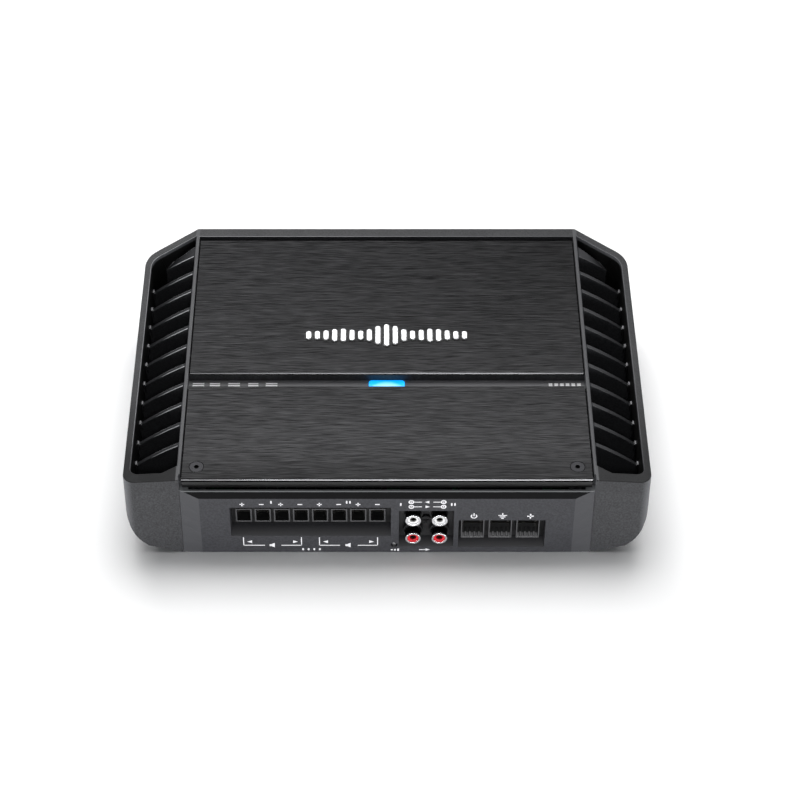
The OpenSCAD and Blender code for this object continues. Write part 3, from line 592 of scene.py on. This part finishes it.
# One look for each of the record's material slots
looks = {
    "casting": powder_coat("casting", (0.026, 0.0265, 0.029), speckle=0.4,
                           paint=casting_shades, shine=casting_shine),
    "top_plates": brushed("top_plates", (0.0295, 0.0295, 0.0305), (0.2, 0.2, 0.207), 0.3),
    "cover_screws": metal("cover_screws", (0.028, 0.028, 0.03), 0.35),
    "front_panel": powder_coat("front_panel", (0.0275, 0.028, 0.032), speckle=0.25, depth=0.03 * MM,
                               paint=panel_shades, shine=panel_shine),
    "base_plate": powder_coat("base_plate", (0.022, 0.022, 0.023)),
    "black_screws": metal("black_screws", (0.06, 0.06, 0.06), 0.4),
    "badge": metal("badge", (0.88, 0.88, 0.9), 0.3),
    "status_light": status_light_look(),
    "circuit_board": board_look(),
    "zinc_screws": metal("zinc_screws", (0.05, 0.05, 0.052), 0.3),
    "terminal_plastic": moulded("terminal_plastic", (0.007, 0.007, 0.0075), 0.4, paint=terminal_shades),
    "terminal_metal": metal("terminal_metal", (0.25, 0.245, 0.23), 0.35),
    "jack_plastic": moulded("jack_plastic", (0.01, 0.01, 0.011), 0.45),
    "jack_chrome": metal("jack_chrome", (0.85, 0.85, 0.87), 0.1, paint=chrome_shades),
    "white_plastic": moulded("white_plastic", (0.62, 0.62, 0.62), 0.35, change=0.03, paint=jack_shades),
    "red_plastic": moulded("red_plastic", (0.5, 0.006, 0.015), 0.35, paint=jack_shades),
    "jack_contact": metal("jack_contact", (0.7, 0.66, 0.52), 0.3),
    "clip_light": moulded("clip_light", (0.1, 0.1, 0.105), 0.12, change=0.05),
    "tray_plastic": moulded("tray_plastic", (0.02, 0.02, 0.021), 0.45, grain=0.6 * MM, depth=0.03 * MM),
    "control_body": moulded("control_body", (0.03, 0.05, 0.09), 0.4),
    "winding": metal("winding", (0.55, 0.17, 0.05), 0.28, change=0.2),
    "capacitor": moulded("capacitor", (0.012, 0.012, 0.03), 0.25),
    "transistor": moulded("transistor", (0.014, 0.014, 0.014), 0.5),
    "knob": moulded("knob", (0.02, 0.02, 0.02), 0.5),
    "slider": moulded("slider", (0.7, 0.7, 0.68), 0.35, change=0.03),
}
white_print = moulded("white_print", (0.62, 0.62, 0.64), 0.55, change=0.08)
groove_print = moulded("groove_print", (0.92, 0.92, 0.93), 0.5, change=0.04)
black_trim = moulded("black_trim", (0.01, 0.01, 0.01), 0.25)
rib_look = moulded("rib_plastic", (0.03, 0.03, 0.031), 0.45, paint=lit_entry_lip)
core_look = moulded("core_paint", (0.03, 0.12, 0.07), 0.45)
aluminium = metal("aluminium", (0.8, 0.8, 0.81), 0.35)

for node in nodes.values():
    slot = node.data.materials[0].name
    node.material_slots[0].material = looks[slot].material

# ---------------------------------------------------------------- rounded edges on the CAD nodes


def soften(names, width, segments=2):
    """Rounds the nodes' sharp edges with modifiers; the CAD meshes underneath stay as they are."""
    for name in names:
        node = nodes[name]
        for stale in ("custom_normal", "sharp_face", "sharp_edge"):
            if stale in node.data.attributes:
                node.data.attributes.remove(node.data.attributes[stale])
        weld = node.modifiers.new("weld", "WELD")
        weld.merge_threshold = 1e-6
        bevel = node.modifiers.new("bevel", "BEVEL")
        bevel.width = width
        bevel.segments = segments
        bevel.limit_method = "ANGLE"
        bevel.angle_limit = math.radians(30)
        bevel.use_clamp_overlap = False
        bevel.miter_outer = "MITER_ARC"
        normals = node.modifiers.new("normals", "WEIGHTED_NORMAL")
        normals.keep_sharp = True


soften(["heatsink_casting"], 0.35 * MM)
soften(["speaker_terminal_block", "power_terminal_block", "phono_jack_housing"], 0.15 * MM)
soften(["phono_jack_shells", "phono_white_insulators", "phono_red_insulators"], 0.15 * MM)
soften(["badge"], 0.3 * MM, 3)

# ---------------------------------------------------------------- piece building


def finish_piece(name, bm, look, body):
    """Turns a bmesh into a piece of the object."""
    mesh = bpy.data.meshes.new(name)
    bmesh.ops.recalc_face_normals(bm, faces=bm.faces)
    bm.to_mesh(mesh)
    bm.free()
    mesh.materials.append(look.material)
    piece = bpy.data.objects.new(name, mesh)
    scene.collection.objects.link(piece)
    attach(piece, body)
    return piece


def slab(bm, outline, put, low, high):
    """Adds a flat plate with that outline; put(u, v, w) gives a point of the row frame."""
    rings = [[bm.verts.new(put(u, v, w)) for u, v in outline] for w in (low, high)]
    bm.faces.new(rings[0])
    bm.faces.new(rings[1])
    for i in range(len(outline)):
        j = (i + 1) % len(outline)
        bm.faces.new((rings[0][i], rings[0][j], rings[1][j], rings[1][i]))


def bar(u, v, width, height):
    """Outline of a rectangle round its middle."""
    return [(u - width / 2, v - height / 2), (u + width / 2, v - height / 2),
            (u + width / 2, v + height / 2), (u - width / 2, v + height / 2)]


def pill(u, v, width, height, steps=6):
    """Outline of a bar with round ends, longer along v."""
    r = width / 2
    ends = []
    for centre, start in ((v + height / 2 - r, 0), (v - height / 2 + r, math.pi)):
        for k in range(steps + 1):
            a = start + math.pi * k / steps
            ends.append((u + r * math.cos(a), centre + r * math.sin(a)))
    return ends


def tube(bm, u, v, r_out, r_in, put, low, high, start=0.0, end=2 * math.pi, steps=28):
    """A flat ring, or part of one."""
    whole = abs(end - start - 2 * math.pi) < 1e-6
    count = steps if whole else steps + 1
    grid = []
    for k in range(count):
        a = start + (end - start) * k / steps
        grid.append([bm.verts.new(put(u + r * math.cos(a), v + r * math.sin(a), w))
                     for r, w in ((r_in, low), (r_out, low), (r_out, high), (r_in, high))])
    for k in range(steps):
        a, b = grid[k], grid[(k + 1) % count]
        for j in range(4):
            bm.faces.new((a[j], a[(j + 1) % 4], b[(j + 1) % 4], b[j]))
    if not whole:
        bm.faces.new(grid[0])
        bm.faces.new(grid[-1])


# ---------------------------------------------------------------- marks on the front panel

# Half the thickness of printing, which is sunk by the same amount
PRINT = 0.06 * MM

marks = bmesh.new()


def on_panel(u, v, w):
    """u runs to the right and v up the panel's face, w stands out of it."""
    return (u, panel_low.y - w, v)


def mark(outline):
    slab(marks, outline, on_panel, -PRINT, PRINT)


# The helpers below take millimetres


def mark_bar(u, v, width, height):
    mark(bar(u * MM, v * MM, width * MM, height * MM))


def mark_ring(u, v, r_out, r_in, start=0, end=360):
    tube(marks, u * MM, v * MM, r_out * MM, r_in * MM, on_panel, -PRINT, PRINT,
         math.radians(start), math.radians(end))


def arrow(u, v, way, size=1.0):
    """A small solid arrowhead that points to way, -1 left or 1 right."""
    mark([((u + way * a * size) * MM, (v + b * size) * MM)
          for a, b in ((1.5, 0), (-1.1, 1.1), (-1.1, -1.1))])


def pips(u, v, count):
    """Small upright strokes, one for the front pair of channels and two for the rear pair."""
    for k in range(count):
        mark(pill((u + (k - (count - 1) / 2) * 1.7) * MM, v * MM, 0.8 * MM, 2.2 * MM))


def loudspeaker(u, v):
    """A loudspeaker's outline: a small box and a cone."""
    mark([((u + a) * MM, (v + b) * MM) for a, b in
          ((-1.9, -0.8), (-0.8, -0.8), (0.9, -1.8), (0.9, 1.8), (-0.8, 0.8), (-1.9, 0.8))])


# Plus and minus over the speaker terminals
SIGN_Z, SIGN_WIDTH, SIGN_STROKE = 37.9, 2.5, 0.68
first_speaker = middle("speaker_clamp_cage_1")[0]
for i in range(8):
    x = (first_speaker + i * SPEAKER_PITCH) / MM
    mark_bar(x, SIGN_Z, SIGN_WIDTH, SIGN_STROKE)
    if i % 2 == 0:
        mark_bar(x, SIGN_Z, SIGN_STROKE, SIGN_WIDTH)

# One bracket under each group of four speaker terminals: its two ends, the gap in its line for a
# loudspeaker, arrows for its left and right channel, and over the terminals its number of pips
for start, end, gap_start, gap_end, count in ((-76.5, -45.6, -65.5, -56.2, 1),
                                              (-36.0, -5.0, -25.3, -15.3, 2)):
    for x in (start, end):
        mark_bar(x, 8.6, 0.5, 6.6)
    mark_bar((start + gap_start) / 2, 5.5, gap_start - start + 0.5, 0.55)
    mark_bar((end + gap_end) / 2, 5.5, end - gap_end + 0.5, 0.55)
    arrow(start + 3.4, 8.4, -1)
    arrow(end - 3.4, 8.4, 1)
    gap_middle = (gap_start + gap_end) / 2
    pips(gap_middle, 39.6, count)
    loudspeaker(gap_middle, 5.6)
for k in range(4):
    mark(pill((-44.9 + 3.0 * k) * MM, 2.3 * MM, 1.0 * MM, 1.7 * MM))

# Plan of the four phono jacks: two rows, each joined by a line with an arrow for left or right
for v, way in ((39.75, -1), (36.1, 1)):
    for u in (12.75, 29.7):
        mark_ring(u, v, 1.5, 0.85)
        mark_ring(u, v, 0.42, 0.05)
    mark_bar(16.3, v, 4.0, 0.5)
    mark_bar(26.2, v, 4.0, 0.5)
    arrow(21.2, v, way, 0.9)
pips(7.2, SIGN_Z, 1)
pips(34.8, SIGN_Z, 2)

# An arrow into the jacks, and a level mark by the clip light
arrow(21.7, 2.0, 1, 0.9)
mark_bar(18.9, 2.0, 3.4, 0.6)
for k in range(3):
    mark_bar(2.6 + 1.7 * k, 1.9, 1.0, 0.8 + 0.5 * k)

# Power terminals: switched feed, earth and battery positive, as plain symbols
mark_ring(45.9, 28.7, 1.75, 1.15, 130, 410)
mark_bar(45.9, 29.9, 0.6, 2.2)
for k, width in enumerate((4.6, 3.0, 1.4)):
    mark_bar(61.0, 29.3 - 1.15 * k, width, 0.6)
mark_bar(61.0, 30.2, 0.6, 1.8)
mark_bar(75.7, 28.7, 3.4, 0.8)
mark_bar(75.7, 28.7, 0.8, 3.6)

finish_piece("panel_marks", marks, white_print, "chassis")

# ---------------------------------------------------------------- marks on the groove floor

GROOVE_MARK_Y = plate_low.y - 2.9 * MM


def in_groove(u, v, w):
    return (u, v, groove_floor + w)


groove_marks = bmesh.new()
for k, u in enumerate((-103, -94, -83.5, -73, -63)):
    length = (6.4 - 0.8 * (k % 2)) * MM
    for side in (-1, 1):
        slab(groove_marks, bar(u * MM, GROOVE_MARK_Y + side * 0.8 * MM, length, 0.9 * MM),
             in_groove, -PRINT, PRINT)
for k in range(6):
    slab(groove_marks, bar((89.6 + 3.1 * k) * MM, GROOVE_MARK_Y, 2.0 * MM, 2.2 * MM),
         in_groove, -PRINT, PRINT)
finish_piece("groove_marks", groove_marks, groove_print, "chassis")

# ---------------------------------------------------------------- badge

BADGE_BARS = 19
BAR_SHARE = 0.62  # a bar's width as a share of the distance between bars
PLINTH_MARGIN = 1.5 * MM
badge_low, badge_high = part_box("badge")
badge_y = middle("badge")[1]
bar_step = (badge_high.x - badge_low.x) / (BADGE_BARS - 1 + BAR_SHARE)


def on_plate(u, v, w):
    return (u, v, plate_high.z + w)


def bar_length(i):
    """The badge's bars swell and shrink like the columns of a level meter."""
    t = (i - (BADGE_BARS - 1) / 2) / BADGE_BARS
    swell = math.cos(math.pi * t) ** 2
    ripple = 0.55 + 0.45 * math.cos(math.radians(1150) * t)
    return (6 + 11 * swell * ripple) * MM


plinth = bmesh.new()
for i in range(BADGE_BARS):
    u = (i - (BADGE_BARS - 1) / 2) * bar_step
    slab(plinth, pill(u, badge_y, bar_step * BAR_SHARE + PLINTH_MARGIN, bar_length(i) + PLINTH_MARGIN),
         on_plate, 0.0, 0.35 * MM)
finish_piece("badge_plinth", plinth, black_trim, "chassis")

# ---------------------------------------------------------------- ribs at the power wire entries


def into_entry(a, b, w):
    """w runs from the block's front face into the entry."""
    return (a, power_low.y + w, b)


ribs = bmesh.new()
first_power = middle("power_clamp_cage_1")[0]
rib_foot, rib_crest = ENTRY_FLOOR - 0.1 * MM, ENTRY_FLOOR + 0.8 * MM
for i in range(3):
    for u in (-3.6, -1.2, 1.2, 3.6):
        x = first_power + i * POWER_PITCH + u * MM
        profile = [(x - 0.75 * MM, rib_foot), (x + 0.75 * MM, rib_foot),
                   (x + 0.45 * MM, rib_crest), (x - 0.45 * MM, rib_crest)]
        slab(ribs, profile, into_entry, 0.3 * MM, 6.5 * MM)
finish_piece("power_entry_ribs", ribs, rib_look, "chassis")

# ---------------------------------------------------------------- scales round the controls

SCALE_START, SCALE_SWEEP, SCALE_STROKES = -50, 280, 11
scales = bmesh.new()


def on_tray(u, v, w):
    return (u, v, TRAY_TOP + w)


def knob_scale(name):
    """An arc round the knob with eleven strokes, longer at the ends and the middle."""
    cx, cy, _ = middle(name)
    low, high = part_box(name)
    r = (high.x - low.x) / 2
    tube(scales, cx, cy, r + 1.35 * MM, r + 1.05 * MM, on_tray, -PRINT, PRINT,
         math.radians(SCALE_START), math.radians(SCALE_START + SCALE_SWEEP))
    for k in range(SCALE_STROKES):
        a = math.radians(SCALE_START + SCALE_SWEEP / (SCALE_STROKES - 1) * k)
        along, across = (math.cos(a), math.sin(a)), (-math.sin(a), math.cos(a))
        near, far = r + 1.7 * MM, r + (3.1 if k % 5 == 0 else 2.5) * MM
        half = 0.2 * MM
        corners = [(cx + along[0] * q + across[0] * t, cy + along[1] * q + across[1] * t)
                   for q, t in ((near, -half), (far, -half), (far, half), (near, half))]
        slab(scales, corners, on_tray, -PRINT, PRINT)


def switch_scale(name, stops):
    """A stroke at each of the switch's stops, and a line on its other side."""
    x, y, _ = middle(name)
    centre = round(x / SWITCH_PITCH) * SWITCH_PITCH
    for u in stops:
        slab(scales, bar(centre + u * MM, y - 3.4 * MM, 0.5 * MM, 1.6 * MM), on_tray, -PRINT, PRINT)
    slab(scales, bar(centre, y + 3.4 * MM, 8 * MM, 0.4 * MM), on_tray, -PRINT, PRINT)


for row in ("front", "rear"):
    for kind in ("gain", "crossover", "bass"):
        knob_scale(f"knob_{row}_{kind}")
switch_scale("slider_front_crossover", (-3, 0, 3))
switch_scale("slider_input_mode", (-3, 3))
switch_scale("slider_rear_crossover", (-3, 0, 3))
finish_piece("control_scales", scales, white_print, "chassis")

# ---------------------------------------------------------------- wound cores and capacitors


def sweep_loop(bm, path, r, sides=6):
    """A round wire along a closed path that lies in one upright plane."""
    count = len(path)
    rings = []
    for i in range(count):
        tangent = (path[(i + 1) % count] - path[i - 1]).normalized()
        level = abs(tangent.z) < 0.01
        across = tangent.cross(Vector((tangent.y, -tangent.x, 0)) if level else Vector((0, 0, 1)))
        across = across.normalized() if across.length > 1e-6 else Vector((1, 0, 0))
        up = tangent.cross(across).normalized()
        angles = [2 * math.pi * k / sides for k in range(sides)]
        rings.append([bm.verts.new(path[i] + r * (math.cos(a) * across + math.sin(a) * up))
                      for a in angles])
    for i in range(count):
        a, b = rings[i], rings[(i + 1) % count]
        for k in range(sides):
            bm.faces.new((a[k], a[(k + 1) % sides], b[(k + 1) % sides], b[k])).smooth = True


def lathe(bm, cx, cy, profile, steps=40):
    """Turns a closed profile of (radius, height) points about an upright axis."""
    angles = [2 * math.pi * k / steps for k in range(steps)]
    grid = [[bm.verts.new((cx + r * math.cos(a), cy + r * math.sin(a), z)) for r, z in profile]
            for a in angles]
    for k in range(steps):
        a, b = grid[k], grid[(k + 1) % steps]
        for j in range(len(profile)):
            m = (j + 1) % len(profile)
            bm.faces.new((a[j], a[m], b[m], b[j])).smooth = True


def rounded_box(low, high, corner, steps=3):
    """Outline of a rectangle with round corners."""
    points = []
    for cu, cv, start in ((high[0] - corner, high[1] - corner, 0),
                          (low[0] + corner, high[1] - corner, 90),
                          (low[0] + corner, low[1] + corner, 180),
                          (high[0] - corner, low[1] + corner, 270)):
        angles = [math.radians(start + 90 * k / steps) for k in range(steps + 1)]
        points += [(cu + corner * math.cos(a), cv + corner * math.sin(a)) for a in angles]
    return points


def wound_core(core, wires, cx, cy, r_out, r_in, low, high, wire, turns):
    """A painted ring core with wire of that radius wound through it, apart from a gap between its
    first and last turn."""
    gap = 30  # degrees
    clear = 2.1 * wire
    section = rounded_box((r_in + clear, low + clear), (r_out - clear, high - clear), 1.2 * MM)
    lathe(core, cx, cy, section)
    outline = rounded_box((r_in + wire, low + wire), (r_out - wire, high - wire), 2 * wire)
    for k in range(turns):
        a = math.radians(gap / 2 + (360 - gap) * k / (turns - 1))
        path = [Vector((cx + r * math.cos(a), cy + r * math.sin(a), z)) for r, z in outline]
        sweep_loop(wires, path, wire)


core, wires = bmesh.new(), bmesh.new()
x, y, _ = middle("power_transformer")
low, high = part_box("power_transformer")
wound_core(core, wires, x, y, 24 * MM, 8 * MM, low.z, high.z, 0.65 * MM, 64)
finish_piece("transformer_core", core, core_look, "chassis")
windings = finish_piece("transformer_windings", wires, looks["winding"], "chassis")
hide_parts("power_transformer")

core, wires = bmesh.new(), bmesh.new()
x, y, _ = middle("filter_inductors")
low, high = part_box("filter_inductors")
radius = 10 * MM
for k in range(4):
    wound_core(core, wires, low.x + radius + INDUCTOR_PITCH * k, y, radius, 4 * MM, low.z, high.z,
               0.5 * MM, 26)
finish_piece("inductor_cores", core, core_look, "chassis")
windings = finish_piece("inductor_windings", wires, looks["winding"], "chassis")
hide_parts("filter_inductors")

sleeves, tops = bmesh.new(), bmesh.new()
low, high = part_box("storage_capacitors")
radius = 9 * MM
sleeve_profile = [(2 * MM, low.z), (radius - 0.6 * MM, low.z), (radius, low.z + 0.6 * MM),
                  (radius, low.z + 2.2 * MM), (radius - 0.7 * MM, low.z + 3.0 * MM),
                  (radius, low.z + 3.8 * MM), (radius, high.z - 1.2 * MM),
                  (radius - 0.5 * MM, high.z - 0.2 * MM), (radius - 1.4 * MM, high.z),
                  (radius - 1.6 * MM, high.z - 0.3 * MM), (2 * MM, high.z - 0.5 * MM)]
top_profile = [(0.01 * MM, high.z - 0.45 * MM), (radius - 1.7 * MM, high.z - 0.45 * MM),
               (radius - 1.9 * MM, high.z - 0.2 * MM), (0.01 * MM, high.z - 0.1 * MM)]
for x in (low.x + radius, middle("storage_capacitors")[0], high.x - radius):
    for y in (low.y + radius, high.y - radius):
        lathe(sleeves, x, y, sleeve_profile)
        lathe(tops, x, y, top_profile)
finish_piece("capacitor_tops", tops, aluminium, "chassis")
cans = finish_piece("capacitor_sleeves", sleeves, looks["capacitor"], "chassis")
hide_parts("storage_capacitors")

# ---------------------------------------------------------------- floor

ground = bmesh.new()
bmesh.ops.create_grid(ground, x_segments=2, y_segments=2, size=6)
floor_mesh = bpy.data.meshes.new("floor")
ground.to_mesh(floor_mesh)
ground.free()
floor_look = Look("floor", 0.9, Specular_IOR_Level=0.0)
floor_look.to("Base Color", floor_look.ramp(floor_look.noise(0.5), 0.3, (0.93, 0.93, 0.93),
                                            0.7, (0.95, 0.95, 0.95)))
floor_mesh.materials.append(floor_look.material)
floor = bpy.data.objects.new("floor", floor_mesh)
scene.collection.objects.link(floor)

# The low lights reach the object alone, and one broad light reaches the floor alone, where it leaves
# a soft shadow round the object
for name, lights, state in (("object_lighting", object_lights, "EXCLUDE"),
                            ("floor_lighting", [floor_light], "INCLUDE")):
    receivers = bpy.data.collections.new(name)
    receivers.objects.link(floor)
    receivers.collection_objects[0].light_linking.link_state = state
    for light in lights:
        light.light_linking.receiver_collection = receivers
